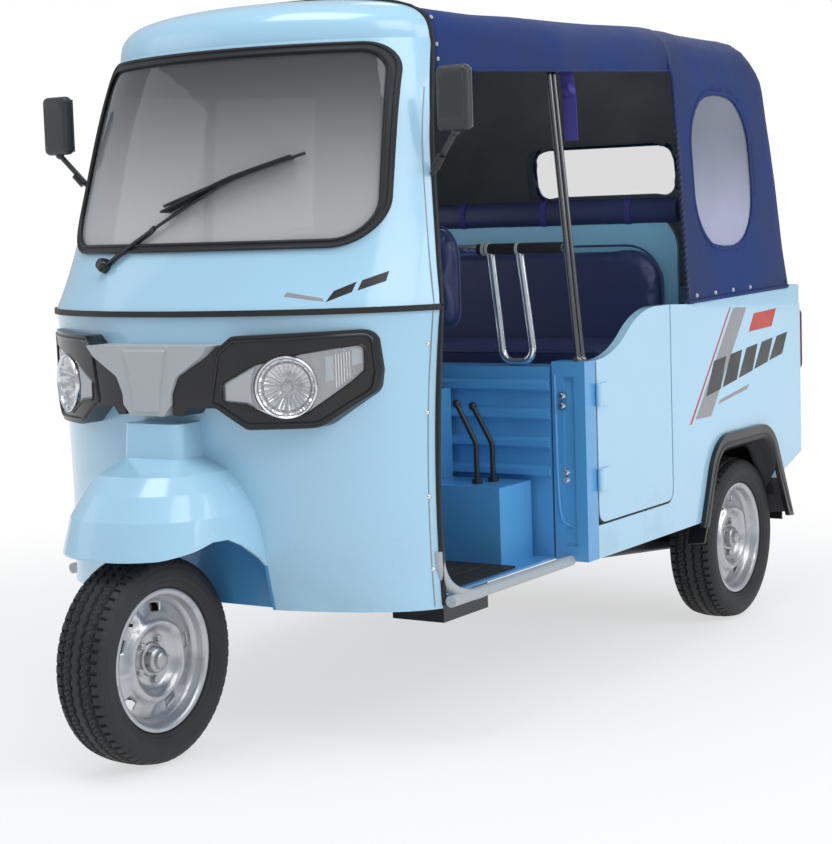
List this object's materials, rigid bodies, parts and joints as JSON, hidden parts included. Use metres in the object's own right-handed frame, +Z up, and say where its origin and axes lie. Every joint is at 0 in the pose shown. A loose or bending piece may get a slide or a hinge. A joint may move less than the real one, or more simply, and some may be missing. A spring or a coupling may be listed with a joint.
{
  "type": "auto rickshaw",
  "caption": "Three-wheeled passenger auto rickshaw with a steel cab, steered front wheel, side half doors, bench seat and a soft canopy over the rear.",
  "frame": {"origin": "on the ground under the middle of the bounding box", "axes": "+Z up, +Y towards the rear of the vehicle, +X towards its left side"},
  "size_m": [1.326, 2.8018, 1.795],
  "materials": {
    "bare_steel": "bare steel tube",
    "black_plastic": "black moulded plastic",
    "canopy_navy": "navy coated canvas",
    "chrome": "bright plating",
    "engine_grey": "engine casting",
    "interior_blue": "satin deeper blue on the inner panels",
    "paint_blue": "gloss light blue body paint",
    "rim_silver": "silver painted steel",
    "rubber_black": "black rubber",
    "screen_glass": "clear laminated glass",
    "seat_navy": "navy vinyl",
    "silver_plastic": "silver painted plastic",
    "steel_black": "black painted steel",
    "tail_red": "red lens",
    "tyre_black": "black tread rubber",
    "window_film": "flexible clear film"
  },
  "bodies": {
    "chassis": {"arch_flares": "black_plastic", "belt_moulding": "rubber_black", "bench_base": "interior_blue", "bulkhead": "interior_blue", "canopy_front": "canopy_navy", "canopy_posts": "steel_black", "canopy_rear": "canopy_navy", "canopy_windows": "window_film", "chassis_frame": "steel_black", "control_levers": "steel_black", "dashboard": "black_plastic", "door_pillars": "interior_blue", "driver_backrest": "seat_navy", "driver_cushion": "seat_navy", "driver_seat_base": "interior_blue", "engine_block": "engine_grey", "exhaust": "steel_black", "floor_mat": "rubber_black", "floor_pan": "interior_blue", "front_cowl": "paint_blue", "front_fender": "paint_blue", "front_wheel_arch": "interior_blue", "headlamps": "chrome", "lamp_bezels": "black_plastic", "lamp_lenses": "screen_glass", "luggage_deck": "interior_blue", "mirror_glasses": "chrome", "mirrors": "black_plastic", "mudflaps": "rubber_black", "nose_plate": "silver_plastic", "partition_guard": "chrome", "passenger_backrest": "seat_navy", "passenger_cushion": "seat_navy", "rear_bumper": "black_plastic", "rear_panel": "paint_blue", "rear_suspension": "steel_black", "rear_wheel_arches": "interior_blue", "roof_cap": "paint_blue", "seat_back_panel": "paint_blue", "side_panel_left": "paint_blue", "side_panel_right": "paint_blue", "sill_rails": "bare_steel", "step_box": "interior_blue", "tail_lamps": "tail_red", "under_floor_box": "black_plastic", "windscreen_frame": "paint_blue", "windscreen_gasket": "rubber_black", "windscreen_glass": "screen_glass", "wiper": "steel_black"},
    "steering": {"steering_fork": "steel_black", "front_damper": "steel_black", "handlebar": "steel_black"},
    "front_wheel": {"front_tyre": "tyre_black", "front_rim": "rim_silver"},
    "rear_wheel_left": {"rear_tyre_left": "tyre_black", "rear_rim_left": "rim_silver"},
    "rear_wheel_right": {"rear_tyre_right": "tyre_black", "rear_rim_right": "rim_silver"},
    "door_left": {"door_left": "paint_blue"},
    "door_right": {"door_right": "paint_blue"}
  },
  "joints": [
    {"name": "steering", "type": "hinge", "parent": "chassis", "child": "steering", "pos_m": [0, -1.094, 0.494], "axis": [0, 0.342, 0.9397], "range_deg": [-35, 35]},
    {"name": "front_wheel_spin", "type": "hinge", "parent": "steering", "child": "front_wheel", "pos_m": [0, -1.154, 0.247], "axis": [1, 0, 0], "continuous": true},
    {"name": "rear_wheel_left_spin", "type": "hinge", "parent": "chassis", "child": "rear_wheel_left", "pos_m": [0.541, 0.941, 0.247], "axis": [1, 0, 0], "continuous": true},
    {"name": "rear_wheel_right_spin", "type": "hinge", "parent": "chassis", "child": "rear_wheel_right", "pos_m": [-0.541, 0.941, 0.247], "axis": [1, 0, 0], "continuous": true},
    {"name": "door_left_hinge", "type": "hinge", "parent": "chassis", "child": "door_left", "pos_m": [0.654, -0.078, 0.443], "axis": [0, 0, 1], "range_deg": [-70, 0]},
    {"name": "door_right_hinge", "type": "hinge", "parent": "chassis", "child": "door_right", "pos_m": [-0.654, -0.078, 0.443], "axis": [0, 0, 1], "range_deg": [0, 70]}
  ]
}
